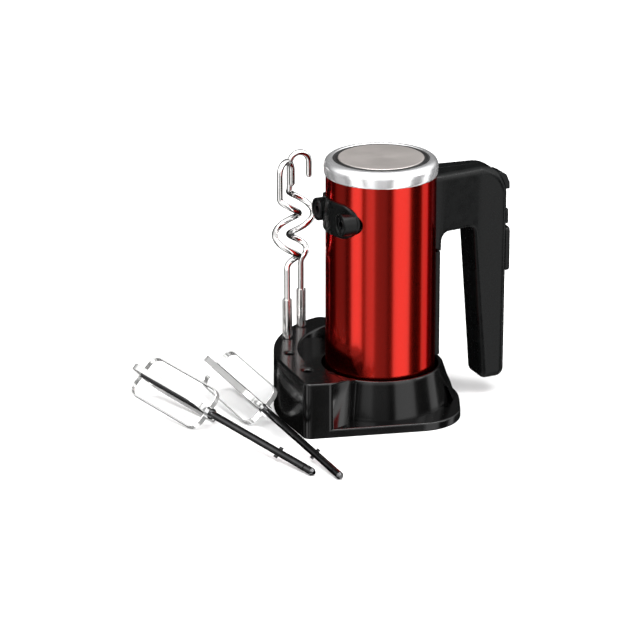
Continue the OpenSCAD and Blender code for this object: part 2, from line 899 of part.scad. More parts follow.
module hook_front_rod() { hook_rod(hook_holes[0], 1, hook_headings[0]); }
module hook_front_shank() { hook_shank(hook_holes[0], hook_headings[0]); }
module hook_back_rod() { hook_rod(hook_holes[1], -1, hook_headings[1]); }
module hook_back_shank() { hook_shank(hook_holes[1], hook_headings[1]); }

// ---- Beaters -------------------------------------------------------------

// Local +Z runs from the shank's tip to the end of the cage.
module place_beater(place, heading) {
    translate([place[0], place[1], shank_r + beater_lift])
        rotate([0, 90 - beater_tilt, heading]) children();
}

module beater_shaft() {
    color(chrome) difference() {
        union() {
            cylinder(r1 = 1.5, r2 = shank_r, h = 2);
            translate([0, 0, 2]) cylinder(r = shank_r, h = beater_len - 3);
            // Two drive fins above the inserted length
            translate([0, 0, insertion + 1.5]) rotate(45) cube([8.6, 1.2, 3], center = true);
        }
        // Groove for the spindle's spring clip
        tube(shank_r + 1, shank_r - 0.5, 8, 10);
    }
}

module blade_loop(inset) {
    length = cage_len - 2 * inset;
    rotate([90, 0, 0]) linear_extrude(strip_w, center = true)
        translate([0, beater_len - cage_len / 2]) difference() {
            rounded_box([2 * cage_r, length], 9);
            rounded_box([2 * (cage_r - strip_t), length - 2 * strip_t], 8);
        }
}

module beater_blades() {
    color(chrome) difference() {
        union() {
            rotate(45) blade_loop(0);
            rotate(-45) blade_loop(strip_t + eps);
        }
        translate([0, 0, 50]) cylinder(r = shank_r + 0.02, h = beyond);
    }
}

module beater_collar() {
    color(chrome) tube(4.2, shank_r + 0.02, beater_len - cage_len - 4, beater_len - cage_len);
}

module beater_left_shaft() { place_beater(beater_left_at, beater_left_heading) beater_shaft(); }
module beater_left_blades() { place_beater(beater_left_at, beater_left_heading) beater_blades(); }
module beater_left_collar() { place_beater(beater_left_at, beater_left_heading) beater_collar(); }
module beater_right_shaft() { place_beater(beater_right_at, beater_right_heading) beater_shaft(); }
module beater_right_blades() { place_beater(beater_right_at, beater_right_heading) beater_blades(); }
module beater_right_collar() { place_beater(beater_right_at, beater_right_heading) beater_collar(); }

// ---- The nodes -----------------------------------------------------------

stand_housing();
stand_bottom_cover();
stand_screws();
stand_feet();
cup_pad();
body_sleeve();
top_ring();
disc_gasket();
top_disc();
rear_cap();
rear_cap_screws();
socket_plate();
back_spine();
handle_left_shell();
handle_right_shell();
handle_screws();
speed_bezel();
cable_gland();
motor_frame();
gearbox_cover();
stator_core();
field_coils();
brush_holders();
carbon_brushes();
brush_springs();
shaft_bearings();
spindle_bushes();
speed_switch();
turbo_switch();
eject_spring();
turbo_spring();
motor_shaft();
worm();
armature_core();
armature_winding();
commutator();
cooling_fan();
drive_spindle_left();
worm_wheel_left();
drive_spindle_right();
worm_wheel_right();
eject_button();
ejector_rod();
ejector_yoke();
turbo_button();
speed_slider();
hook_front_rod();
hook_front_shank();
hook_back_rod();
hook_back_shank();
beater_left_shaft();
beater_left_blades();
beater_left_collar();
beater_right_shaft();
beater_right_blades();
beater_right_collar();
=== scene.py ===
"""Looks of a hand mixer in its stand, with two dough hooks and two strip beaters."""

import json
import math

import bmesh
import bpy
import numpy as np
from mathutils import Matrix, Vector


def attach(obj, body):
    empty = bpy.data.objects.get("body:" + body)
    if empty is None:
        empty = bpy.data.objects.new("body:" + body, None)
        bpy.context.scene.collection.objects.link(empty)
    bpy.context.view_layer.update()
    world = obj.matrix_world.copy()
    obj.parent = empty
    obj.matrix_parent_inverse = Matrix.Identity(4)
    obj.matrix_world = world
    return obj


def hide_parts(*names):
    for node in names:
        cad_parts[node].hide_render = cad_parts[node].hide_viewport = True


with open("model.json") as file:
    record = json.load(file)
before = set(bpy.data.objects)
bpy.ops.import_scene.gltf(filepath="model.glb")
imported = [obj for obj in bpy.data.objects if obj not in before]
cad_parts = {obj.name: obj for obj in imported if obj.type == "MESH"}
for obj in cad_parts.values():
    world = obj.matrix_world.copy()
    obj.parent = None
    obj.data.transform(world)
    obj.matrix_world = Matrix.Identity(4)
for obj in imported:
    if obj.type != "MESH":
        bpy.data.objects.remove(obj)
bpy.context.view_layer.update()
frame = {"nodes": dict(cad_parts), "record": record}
nodes = frame["nodes"]
bodies = frame["record"]["behaviour"]["bodies"]
body_of = {n: b for b, members in bodies.items() for n in members}
scene = bpy.context.scene

MM = 0.001
SKIN = 0.12  # how far a rounded envelope lies inside the CAD surface, in mm


# ---- Materials -----------------------------------------------------------


def shader(name, colour, roughness, metallic=0.0, **sockets):
    mat = bpy.data.materials.new(name)
    mat.use_nodes = True
    bsdf = mat.node_tree.nodes["Principled BSDF"]
    bsdf.inputs["Base Color"].default_value = (*colour, 1)
    bsdf.inputs["Roughness"].default_value = roughness
    bsdf.inputs["Metallic"].default_value = metallic
    for key, value in sockets.items():
        bsdf.inputs[key.replace("_", " ")].default_value = value
    return mat, bsdf


def link(mat, a, b):
    mat.node_tree.links.new(a, b)


def coords(mat, scale=(1, 1, 1)):
    """Object coordinates in millimetres, stretched by scale."""
    tree = mat.node_tree
    where = tree.nodes.new("ShaderNodeTexCoord")
    mapping = tree.nodes.new("ShaderNodeMapping")
    mapping.inputs["Scale"].default_value = tuple(s / MM for s in scale)
    link(mat, where.outputs["Object"], mapping.inputs["Vector"])
    return mapping.outputs["Vector"]


def noise(mat, vector, scale, detail=3.0):
    node = mat.node_tree.nodes.new("ShaderNodeTexNoise")
    node.inputs["Scale"].default_value = scale
    node.inputs["Detail"].default_value = detail
    link(mat, vector, node.inputs["Vector"])
    return node.outputs["Fac"]


def spread(mat, value, low, high, start=0.3, end=0.7):
    node = mat.node_tree.nodes.new("ShaderNodeMapRange")
    for key, v in (("From Min", start), ("From Max", end), ("To Min", low), ("To Max", high)):
        node.inputs[key].default_value = v
    link(mat, value, node.inputs["Value"])
    return node.outputs["Result"]


def ramp(mat, value, stops):
    node = mat.node_tree.nodes.new("ShaderNodeValToRGB")
    elements = node.color_ramp.elements
    while len(elements) < len(stops):
        elements.new(0.5)
    for element, (place, colour) in zip(elements, stops):
        element.position = place
        element.color = (*colour, 1)
    link(mat, value, node.inputs["Fac"])
    return node.outputs["Color"]


def bump(mat, bsdf, height, strength, distance):
    node = mat.node_tree.nodes.new("ShaderNodeBump")
    node.inputs["Strength"].default_value = strength
    node.inputs["Distance"].default_value = distance * MM
    link(mat, height, node.inputs["Height"])
    link(mat, node.outputs["Normal"], bsdf.inputs["Normal"])


def speckled(name, dark, light, rough, grain, height=0.04, strength=0.25, **more):
    """A finish clouded from dark to light and over a range of roughness, with a fine grain."""
    mat, bsdf = shader(name, dark, rough[0], **more)
    grit = noise(mat, coords(mat), grain)
    cloud = noise(mat, coords(mat), grain / 14, 2)
    link(mat, ramp(mat, cloud, [(0.35, dark), (0.65, light)]), bsdf.inputs["Base Color"])
    link(mat, spread(mat, cloud, *rough), bsdf.inputs["Roughness"])
    bump(mat, bsdf, grit, strength, height)
    return mat


def red_lacquer():
    """Clear red lacquer on metal with fine brushing round the body."""
    mat, bsdf = shader("red_lacquer", (0.5, 0.01, 0.014), 0.3, 1.0)
    bsdf.inputs["Coat Weight"].default_value = 0.2
    bsdf.inputs["Specular Tint"].default_value = (0.9, 0.08, 0.06, 1)
    bsdf.inputs["Coat Roughness"].default_value = 0.06
    bsdf.inputs["Anisotropic"].default_value = 0.3
    tangent = mat.node_tree.nodes.new("ShaderNodeTangent")
    tangent.direction_type = "RADIAL"
    tangent.axis = "Z"
    link(mat, tangent.outputs["Tangent"], bsdf.inputs["Tangent"])
    brushed = noise(mat, coords(mat, (0.02, 0.02, 4.0)), 1.6, 4)
    flake = noise(mat, coords(mat), 2.6, 2)
    link(
        mat,
        ramp(mat, flake, [(0.3, (0.5, 0.016, 0.010)), (0.7, (0.6, 0.024, 0.014))]),
        bsdf.inputs["Base Color"],
    )
    link(mat, spread(mat, brushed, 0.17, 0.21), bsdf.inputs["Roughness"])
    bump(mat, bsdf, brushed, 0.03, 0.01)
    return mat


def brushed_disc():
    """Spun metal: fine rings about the body's axis."""
    mat, bsdf = shader("brushed_disc", (0.48, 0.45, 0.43), 0.34, 0.6)
    bsdf.inputs["Anisotropic"].default_value = 0.5
    tree = mat.node_tree
    tangent = tree.nodes.new("ShaderNodeTangent")
    tangent.direction_type = "RADIAL"
    tangent.axis = "Z"
    link(mat, tangent.outputs["Tangent"], bsdf.inputs["Tangent"])
    flat = tree.nodes.new("ShaderNodeVectorMath")
    flat.operation = "MULTIPLY"
    flat.inputs[1].default_value = (1, 1, 0)
    link(mat, coords(mat), flat.inputs[0])
    length = tree.nodes.new("ShaderNodeVectorMath")
    length.operation = "LENGTH"
    link(mat, flat.outputs["Vector"], length.inputs[0])
    rings = tree.nodes.new("ShaderNodeCombineXYZ")
    link(mat, length.outputs["Value"], rings.inputs["X"])
    spun = noise(mat, rings.outputs["Vector"], 3.1, 6)
    soft = noise(mat, coords(mat), 0.05, 2)
    link(
        mat,
        ramp(mat, soft, [(0.35, (0.44, 0.41, 0.39)), (0.65, (0.52, 0.48, 0.46))]),
        bsdf.inputs["Base Color"],
    )
    link(mat, spread(mat, spun, 0.28, 0.42), bsdf.inputs["Roughness"])
    bump(mat, bsdf, spun, 0.3, 0.02)
    return mat


MATS = {
    "stand_black": speckled(
        "stand_black", (0.0014, 0.0014, 0.0014), (0.0024, 0.0024, 0.0024), (0.15, 0.21), 0.5,
        0.015, 0.06, Specular_IOR_Level=0.3, Coat_Weight=0.12, Coat_Roughness=0.06,
    ),
    "black_plastic": speckled(
        "black_plastic", (0.0016, 0.0019, 0.0019), (0.0028, 0.0032, 0.0032), (0.24, 0.32), 2.2,
        0.015, 0.2, Specular_IOR_Level=0.16,
    ),
    "black_rubber": speckled(
        "black_rubber", (0.006, 0.006, 0.006), (0.012, 0.012, 0.012), (0.55, 0.7), 3.0, 0.05, 0.5,
    ),
    "red_lacquer": red_lacquer(),
    "chrome": speckled(
        "chrome", (0.86, 0.86, 0.87), (0.92, 0.92, 0.93), (0.07, 0.13), 0.6, 0.01, 0.15,
        metallic=1.0,
    ),
    "ring_chrome": speckled(
        "ring_chrome", (0.86, 0.86, 0.87), (0.92, 0.92, 0.93), (0.18, 0.25), 0.5, 0.01, 0.1,
        metallic=0.82,
    ),
    # A shaded copy of chrome, darkened to paint the dark reflection along the beaters' shafts
    "painted_dark_shaft_chrome": speckled(
        "painted_dark_shaft_chrome", (0.07, 0.07, 0.072), (0.11, 0.11, 0.112), (0.06, 0.12), 0.9, 0.01, 0.2,
        metallic=1.0,
    ),
    "blade_chrome": speckled(
        "blade_chrome", (0.84, 0.84, 0.83), (0.92, 0.92, 0.91), (0.06, 0.12), 0.9, 0.012, 0.25,
        metallic=0.72,
    ),
    # Steel darkened to paint the shade deep inside the sockets, where the drive spindles stand
    "painted_shade_spindle_steel": speckled(
        "painted_shade_spindle_steel", (0.03, 0.03, 0.032), (0.06, 0.06, 0.062), (0.25, 0.36), 1.2, 0.01, 0.3,
        metallic=1.0,
    ),
    "wire_chrome": speckled(
        "wire_chrome", (0.8, 0.79, 0.78), (0.9, 0.89, 0.88), (0.05, 0.12), 0.9, 0.012, 0.3,
        metallic=1.0,
    ),
    "brushed_disc": brushed_disc(),
    "bright_steel": speckled(
        "bright_steel", (0.5, 0.5, 0.5), (0.62, 0.61, 0.6), (0.22, 0.34), 1.4, 0.01, 0.3,
        metallic=1.0,
    ),
    "lamination": speckled(
        "lamination", (0.2, 0.2, 0.21), (0.3, 0.3, 0.31), (0.4, 0.55), 1.1, 0.03, 0.4, metallic=0.9,
    ),
    "copper": speckled(
        "copper", (0.5, 0.2, 0.09), (0.66, 0.3, 0.14), (0.26, 0.4), 1.6, 0.03, 0.5, metallic=1.0,
    ),
    "bronze": speckled(
        "bronze", (0.36, 0.25, 0.12), (0.46, 0.33, 0.17), (0.35, 0.5), 2.0, 0.02, 0.4,
        metallic=1.0,
    ),
    "carbon": speckled(
        "carbon", (0.014, 0.014, 0.015), (0.028, 0.028, 0.03), (0.5, 0.7), 2.4, 0.03, 0.5,
    ),
    "natural_plastic": speckled(
        "natural_plastic", (0.58, 0.56, 0.5), (0.66, 0.64, 0.58), (0.4, 0.52), 1.5, 0.02, 0.3,
    ),
}

slot_of = {n: o.data.materials[0].name.split(".")[0] for n, o in nodes.items()}
for name, obj in nodes.items():
    finish = slot_of[name]
    # The drive spindles take steel darkened as painted shade inside their sockets
    if name.startswith("drive_spindle"):
        finish = "painted_shade_spindle_steel"
    # The beaters' shafts take the chrome darkened as a painted dark reflection
    elif name.startswith("beater") and name.endswith("shaft"):
        finish = "painted_dark_shaft_chrome"
    obj.data.materials[0] = MATS[finish]


# ---- Mesh tools ----------------------------------------------------------


def add_object(name, verts, faces):
    """A mesh object from points in millimetres, with its normals outwards."""
    mesh = bpy.data.meshes.new(name)
    mesh.from_pydata([(p[0] * MM, p[1] * MM, p[2] * MM) for p in verts], [], faces)
    obj = bpy.data.objects.new(name, mesh)
    scene.collection.objects.link(obj)
    tidy(obj, outwards=True)
    return obj


def tidy(obj, dist=0.002, flat=None, outwards=False):
    """Joins points closer than dist, and faces that bend by less than flat degrees."""
    bm = bmesh.new()
    bm.from_mesh(obj.data)
    bmesh.ops.remove_doubles(bm, verts=bm.verts, dist=dist * MM)
    bmesh.ops.dissolve_degenerate(bm, edges=bm.edges, dist=1e-7)
    if flat is not None:
        bmesh.ops.dissolve_limit(
            bm, angle_limit=math.radians(flat), verts=bm.verts, edges=bm.edges
        )
    if outwards:
        bmesh.ops.recalc_face_normals(bm, faces=bm.faces)
    bm.to_mesh(obj.data)
    bm.free()


def drop(obj):
    mesh = obj.data
    bpy.data.objects.remove(obj)
    bpy.data.meshes.remove(mesh)


def apply_modifiers(obj):
    graph = bpy.context.evaluated_depsgraph_get()
    mesh = bpy.data.meshes.new_from_object(obj.evaluated_get(graph))
    obj.modifiers.clear()
    old, obj.data = obj.data, mesh
    bpy.data.meshes.remove(old)


def boolean(obj, tool, operation):
    mod = obj.modifiers.new("cut", "BOOLEAN")
    mod.operation = operation
    mod.solver = "EXACT"
    mod.object = tool
    apply_modifiers(obj)
    drop(tool)
    return obj


def bevel(obj, width, segments=3, angle=32):
    mod = obj.modifiers.new("edges", "BEVEL")
    mod.width = width * MM
    mod.segments = segments
    mod.limit_method = "ANGLE"
    mod.angle_limit = math.radians(angle)
    mod.harden_normals = False
    apply_modifiers(obj)
    return obj


def shade(obj, angle=34):
    """Smooth, with an edge kept sharp where it bends by more than angle."""
    obj.data.shade_smooth()
    obj.data.set_sharp_from_angle(angle=math.radians(angle))
    mod = obj.modifiers.new("normals", "WEIGHTED_NORMAL")
    mod.keep_sharp = True
    mod.weight = 80


def finish_piece(obj, node, mat=None, angle=34):
    """obj stands for that CAD node: it goes on the node's body and takes the finish of the node's
    slot, or mat where given; the node is hidden.
    """
    slot_name = slot_of[node]
    obj.data.materials.clear()
    obj.data.materials.append(MATS[mat or slot_name])
    shade(obj, angle)
    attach(obj, body_of[node])
    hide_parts(node)
    return obj


def copied(node, name):
    """A CAD node's shape as a new object."""
    obj = bpy.data.objects.new(name, nodes[node].data.copy())
    scene.collection.objects.link(obj)
    tidy(obj)
    return obj


def loft(name, rings, closed=False, caps=True):
    """A skin over rings of points; closed joins the last ring to the first."""
    n, m = len(rings[0]), len(rings)
    faces = []
    for i in range(m if closed else m - 1):
        j = (i + 1) % m
        for k in range(n):
            q = (k + 1) % n
            faces.append((i * n + k, i * n + q, j * n + q, j * n + k))
    if caps and not closed:
        faces.append(tuple(range(n - 1, -1, -1)))
        faces.append(tuple((m - 1) * n + k for k in range(n)))
    return add_object(name, [p for ring in rings for p in ring], faces)


def lathe(name, profile, segments=192, axis="Z", centre=(0, 0, 0), closed=True):
    """A profile of (radius, height) turned about an axis through centre."""
    rings = []
    for r, h in profile:
        ring = []
        for k in range(segments):
            a = 2 * math.pi * k / segments
            c, s = r * math.cos(a), r * math.sin(a)
            p = (c, s, h) if axis == "Z" else (h, c, s)
            ring.append(tuple(p[i] + centre[i] for i in range(3)))
        rings.append(ring)
    return loft(name, rings, closed=closed, caps=False)


def unit(v):
    return v / np.linalg.norm(v)


def rounded(corners, step=6.0):
    """Corners [x, y, radius] as points, each corner rounded to its own radius."""
    points = []
    count = len(corners)
    for i in range(count):
        a, b, c = (np.array(corners[(i + d) % count][:2], float) for d in (-1, 0, 1))
        r = corners[i][2]
        if r == 0:
            points.append(b)
            continue
        u, v = unit(a - b), unit(c - b)
        half = math.acos(float(u @ v)) / 2
        side = math.copysign(1, u[0] * v[1] - u[1] * v[0])
        centre = b + unit(u + v) * r / math.sin(half)
        start = b + u * r / math.tan(half) - centre
        sweep_angle = math.pi - 2 * half
        steps = max(4, math.ceil(math.degrees(sweep_angle) / step))
        for k in range(steps + 1):
            t = -side * sweep_angle * k / steps
            points.append(
                centre
                + np.array(
                    [
                        start[0] * math.cos(t) - start[1] * math.sin(t),
                        start[0] * math.sin(t) + start[1] * math.cos(t),
                    ]
                )
            )
    return points


def arc(r, start, end, step, centre=(0, 0)):
    """Points on an arc, at most step degrees apart."""
    n = max(1, math.ceil(abs(end - start) / step))
    out = []
    for i in range(n + 1):
        a = math.radians(start + (end - start) * i / n)
        out.append(np.array([centre[0] + r * math.cos(a), centre[1] + r * math.sin(a)]))
    return out


def thinned(points, least=0.05):
    """The same outline without points that lie on each other."""
    out = []
    for p in points:
        if not out or np.linalg.norm(p - out[-1]) > least:
            out.append(p)
    if np.linalg.norm(out[0] - out[-1]) <= least:
        out.pop()
    return np.array(out)


def inset(points, d):
    """An anticlockwise outline moved inwards by d."""
    before, after = np.roll(points, 1, 0), np.roll(points, -1, 0)
    e1, e2 = points - before, after - points
    e1 /= np.linalg.norm(e1, axis=1)[:, None]
    e2 /= np.linalg.norm(e2, axis=1)[:, None]
    n1 = np.stack([-e1[:, 1], e1[:, 0]], 1)
    n2 = np.stack([-e2[:, 1], e2[:, 0]], 1)
    return points + (n1 + n2) / (1 + (n1 * n2).sum(1))[:, None] * d


def edge_profile(radius, steps=5):
    """(inset, drop below the top) round an edge, from the wall to the top."""
    return [
        (radius * (1 - math.cos(t)), radius * (1 - math.sin(t)))
        for t in (math.pi / 2 * k / steps for k in range(steps + 1))
    ]


def smoothstep(t):
    t = min(1.0, max(0.0, t))
    return t * t * (3 - 2 * t)


# ---- Stand ---------------------------------------------------------------

BASE_R, FLANGE_H, RIM_Z = 58.6, 6.5, 35
TOWER_R, TOWER_IN_R, TOWER_END = 78, 59, 105
END_R = (TOWER_R - TOWER_IN_R) / 2
# The tower's top: its height at this y, and its slope in degrees
TOWER_LOW, TOWER_LOW_Y, TOWER_SLOPE = 42, -45, 2.6
TOWER_FRONT = [(-78, -1, 0), (-78, -42, 7), (-60, -46.2, 5), (-43, -40.5, 0)]
TOWER_FRONT_ANGLE = 204
TOE = (-33.7, -30.3, RIM_Z + 0.2)
TOE_TURN = (20.9, 6.8)
TOE_REACH = 6.3
FRONT = [(-78, 0, 0), (-78, -42, 7), (33.9, -68, 34), (53.6, -23.9, 0)]
HOLES = [(-54.5, 44.5), (-35.5, 62.5), (-65, 16.5), (-66, -18)]
HOLE_R = 3.2


def tower_top(y):
    return TOWER_LOW + (y - TOWER_LOW_Y) * math.tan(math.radians(TOWER_SLOPE))


def tower_outside():
    a = math.radians(TOWER_END)
    centre = ((TOWER_R - END_R) * math.cos(a), (TOWER_R - END_R) * math.sin(a))
    return (
        arc(END_R, TOWER_END - 180, TOWER_END - 3, 6, centre)
        + arc(TOWER_R, TOWER_END, 180, 2)
        + rounded(TOWER_FRONT)
    )


def footprint():
    """The stand's outline as seen from above, which is star-shaped about the cup's axis."""
    shapes = [
        rounded(FRONT, 3) + arc(BASE_R, -20, 180, 1),
        tower_outside() + [np.array([0.0, 0.0])],
    ]
    out = []
    for k in range(720):
        a = math.radians(k / 2)
        d = np.array([math.cos(a), math.sin(a)])
        best = 0
        for shape in shapes:
            p = np.array(shape)
            e = np.roll(p, -1, 0) - p
            cross = d[0] * e[:, 1] - d[1] * e[:, 0]
            with np.errstate(divide="ignore", invalid="ignore"):
                r = (p[:, 0] * e[:, 1] - p[:, 1] * e[:, 0]) / cross
                t = (p[:, 0] * d[1] - p[:, 1] * d[0]) / cross
            hit = (t >= -1e-9) & (t <= 1 + 1e-9) & (r > 0)
            if hit.any():
                best = max(best, r[hit].max())
        out.append(best * d)
    return thinned(out)


def slab(name, outline, low, top, radius, low_radius=0.0, skin=SKIN):
    """A solid with that outline and rounded edges; top is a height or a function of y."""
    height = top if callable(top) else (lambda y: top)
    rings = []
    if low_radius:
        for i, d in reversed(edge_profile(low_radius, 3)):
            ring = inset(outline, skin + i)
            rings.append([(x, y, low + d) for x, y in ring])
    else:
        rings.append([(x, y, low) for x, y in inset(outline, skin)])
    for i, d in edge_profile(radius):
        ring = inset(outline, skin + i)
        rings.append([(x, y, height(y) - SKIN - d) for x, y in ring])
    return loft(name, rings)


# The flared skirt beside and behind the cup: (height, radius)
SKIRT = [(3.5, 57.0), (6.5, 57.0), (10, 54.8), (16, 52.8), (22.5, 50.0), (28.5, 48.0), (33, 46.4)]
SKIRT_FROM, SKIRT_FULL, SKIRT_TO = -47.5, -13.5, 107  # headings in degrees
CUP_FOOT_R, CUP_TAPER, CUP_WALL_H = 50, 4.5, 26.9


def skirt_r(z):
    """The flared skirt's radius at a height: a smooth curve through its points."""
    for i in range(len(SKIRT) - 1):
        (z0, r0), (z1, r1) = SKIRT[i], SKIRT[i + 1]
        if z <= z1:
            before, after = SKIRT[max(i - 1, 0)], SKIRT[min(i + 2, len(SKIRT) - 1)]
            m0 = (r1 - before[1]) / (z1 - before[0]) * (z1 - z0)
            m1 = (after[1] - r0) / (after[0] - z0) * (z1 - z0)
            t = (z - z0) / (z1 - z0)
            return (
                (2 * t**3 - 3 * t**2 + 1) * r0
                + (t**3 - 2 * t**2 + t) * m0
                + (3 * t**2 - 2 * t**3) * r1
                + (t**3 - t**2) * m1
            )
    return SKIRT[-1][1]


def cup_envelope():
    """The cup's outside with its rounded rim; the skirt grows out of it to the right and back."""
    wall = [
        (z, CUP_FOOT_R - (z - FLANGE_H) * CUP_TAPER / CUP_WALL_H)
        for z in np.linspace(7.2, 33.2, 22)
    ]
    wall = [(3.0, 50.2)] + wall
    rim = [(34.0, 45.15), (34.45, 45.0), (34.75, 44.75), (34.9, 44.35), (34.95, 43.95),
           (34.85, 43.6), (34.6, 43.35), (34.2, 43.2)]
    rings = []
    count = 240
    wall_top = 33.3
    for z, r in wall + rim:
        ring = []
        for k in range(count):
            deg = 360 * k / count - 180
            grow = smoothstep((deg - SKIRT_FROM) / (SKIRT_FULL - SKIRT_FROM))
            out = r - SKIN
            if deg < SKIRT_TO and z < wall_top and grow > 0:
                out += grow * max(0, skirt_r(min(z, SKIRT[-1][0])) - SKIN - out)
            a = math.radians(deg)
            ring.append((out * math.cos(a), out * math.sin(a), z))
        rings.append(ring)
    return loft("cup_envelope", rings)


def toe_cut():
    """The slope that takes the tower's top down to the cup's rim at its front end."""
    far = 150
    low, near, high = -far, TOE_REACH, 60
    corners = [(-far, low), (far, low), (far, near), (-far, near)]
    cut = loft("toe", [[(x, y, z) for x, y in corners] for z in (-SKIN, high)])
    tilt, heading = (math.radians(a) for a in TOE_TURN)
    cut.data.transform(
        Matrix.Translation(tuple(v * MM for v in TOE))
        @ Matrix.Rotation(heading, 4, "Z")
        @ Matrix.Rotation(tilt, 4, "Y")
    )
    return cut


def countersink(x, y, top):
    """What rounds a storage hole's lip."""
    profile = [(0, top - 2), (HOLE_R - 0.6, top - 2), (HOLE_R - 0.05, top - 1.3),
               (HOLE_R + 0.25, top - 0.75), (HOLE_R + 0.7, top - 0.3), (HOLE_R + 1.3, top - 0.05),
               (HOLE_R + 2.2, top + 0.12), (HOLE_R + 2.2, top + 1), (0, top + 1)]
    return lathe("countersink", profile, 72, centre=(x, y, 0), closed=False)


def stand_housing():
    """The CAD shape cut back to an envelope with rounded edges."""
    plan = footprint()
    envelope = slab("envelope", plan, 0.02, FLANGE_H, 1.6, 0.7)
    outside = tower_outside()
    lower = thinned(outside + [np.array([0.0, 0.0])])
    toe = np.array(TOE[:2])
    upper = thinned(
        outside + [toe - unit(toe)] + arc(TOWER_IN_R, TOWER_FRONT_ANGLE, TOWER_END, 2)
    )
    boolean(envelope, slab("lower", lower, 3, RIM_Z, 1.0, skin=0.7), "UNION")
    block = slab("upper", upper, 4.2, tower_top, 1.7, skin=SKIN + 0.04)
    boolean(block, toe_cut(), "DIFFERENCE")
    boolean(envelope, block, "UNION")
    boolean(envelope, cup_envelope(), "UNION")
    shell = copied("stand_housing", "stand_shell")
    boolean(shell, envelope, "INTERSECT")
    tidy(shell, 0.004)
    for x, y in HOLES:
        boolean(shell, countersink(x, y, tower_top(y) - SKIN), "DIFFERENCE")
    tidy(shell, 0.004)
    return finish_piece(shell, "stand_housing")


stand_housing()


# ---- Mixer ---------------------------------------------------------------

BODY_R = 40.03
BEAD_R, BEAD_Z, BEAD_OUT, BEAD_UP = 36, 184, 5.4, 6.6
DISC_TOP = 190.8
SOCKET_Y, SOCKET_Z = 20.6, 150.6
PLATE_Z, PLATE_T = (138.5, 164), 1.98
PLATE_HALF = 27.5


def top_ring():
    """The end ring: a quarter bead above a band, with the sleeve's seat inside."""
    bead = [
        (
            BEAD_R + BEAD_OUT * math.cos(t),
            BEAD_Z + BEAD_UP * math.sin(t) + 0.2 * math.sin(2 * t),
        )
        for t in (math.pi / 2 * k / 28 for k in range(29))
    ]
    profile = (
        [(36, 172.5), (39.1, 172.5), (39.1, 178.5), (40.25, 178.5), (40.55, 178.65), (40.9, 179.2),
         (41.1, 180)]
        + bead
        + [(35.4, 190.5), (35.05, 190.25), (34.9, 189.8), (34.8, 186), (29, 186), (29, 184),
           (36, 184)]
    )
    return finish_piece(lathe("end_ring", profile, 256), "top_ring", "ring_chrome", 40)


def top_disc():
    edge = [
        (30.2 + math.sin(t), 189.8 + math.cos(t)) for t in (math.pi / 2 * k / 6 for k in range(7))
    ]
    profile = [(0, DISC_TOP), (15, DISC_TOP), (28, DISC_TOP)] + edge
    profile += [(31.2, 186.15), (31.05, 186), (28.9, 186), (28.9, 186.8), (0, 186.8)]
    return finish_piece(lathe("end_disc", profile, 256, closed=False), "top_disc", angle=40)


def gasket():
    """The groove ring round the disc."""
    profile = [
        (31.25, 186), (34.7, 186), (34.7, 189.9), (34.5, 190.1), (33.8, 190.1), (33.5, 189.8),
        (33.2, 189.25), (32.9, 189.15), (32.4, 189.15), (32.1, 189.4), (31.85, 190.2),
        (31.6, 190.4), (31.25, 190.4),
    ]
    return finish_piece(lathe("disc_seal", profile, 256), "disc_gasket", angle=60)


def wrapped(outline, depth_ring, radius_of, name):
    """A plate round the body: an outline in (y, z), rounded towards its outside."""
    rings = [[(d, y, z) for y, z in inset(outline, i)] for i, d in depth_ring]
    plate = loft(name, rings)
    bm = bmesh.new()
    bm.from_mesh(plate.data)
    for y in np.arange(-30, 30.1, 1.5):
        bmesh.ops.bisect_plane(
            bm, geom=bm.verts[:] + bm.edges[:] + bm.faces[:], plane_co=(0, y * MM, 0),
            plane_no=(0, 1, 0), dist=1e-7,
        )
    for v in bm.verts:
        r = radius_of(v.co.x / MM)
        v.co.x = -math.sqrt(max(0, r * r - (v.co.y / MM) ** 2)) * MM
    bmesh.ops.recalc_face_normals(bm, faces=bm.faces)
    bm.to_mesh(plate.data)
    bm.free()
    return plate


def socket_plate():
    """The plate with its two collars, open to the drive spindles."""
    low, high = PLATE_Z
    corner_r = 12.6
    outline = thinned(
        rounded([(-PLATE_HALF, low, corner_r), (PLATE_HALF, low, corner_r),
                 (PLATE_HALF, high, corner_r), (-PLATE_HALF, high, corner_r)], 5)
    )
    rings = [(0, 0), (0, 0.9)] + [(i, PLATE_T - d) for i, d in edge_profile(1.1, 5)[1:]]
    plate = wrapped(outline, rings, lambda d: BODY_R + d, "socket_bezel")
    for s in (-1, 1):
        centre = (0, s * SOCKET_Y, SOCKET_Z)
        profile = [(6.0, -32), (8.38, -32), (8.38, -40.9), (8.3, -41.35), (8.05, -41.75),
                   (7.7, -41.95), (7.3, -41.95), (7.0, -41.8), (6.75, -41.4), (6.66, -40.9),
                   (6.0, -40.9)]
        boolean(plate, lathe("collar", profile, 96, "X", centre), "UNION")
    for s in (-1, 1):
        centre = (0, s * SOCKET_Y, SOCKET_Z)
        hole = [(0, -45), (6.62, -45), (6.62, -28), (0, -28)]
        boolean(plate, lathe("bore", hole, 96, "X", centre, closed=False), "DIFFERENCE")
    tidy(plate, 0.004)
    return finish_piece(plate, "socket_plate")


top_ring()
top_disc()
gasket()
socket_plate()

# ---- Handle --------------------------------------------------------------

# The handle's outline in (x, z, radius), and one side of its plan in (x, y, radius)
OUTLINE = [
    (28, 118, 0), (42.2, 118, 0), (42.2, 132, 6), (68.5, 132, 4),
    (76.5, 12, 6), (97, 12, 7), (97, 176.8, 22), (28, 176.8, 0),
]
FULL_HALF = 16.8
PLAN = [(28, -FULL_HALF, 0), (40, -FULL_HALF, 3), (74, -12.8, 16), (104, -12.1, 0)]


def half_width(x):
    """The handle's half width at x, from its plan."""
    edge = rounded([(104, 5, 0), (28, 5, 0)] + PLAN, 2)
    pts = sorted((float(p[0]), -float(p[1])) for p in edge if p[1] < 0)
    return float(np.interp(x, [p[0] for p in pts], [p[1] for p in pts]))


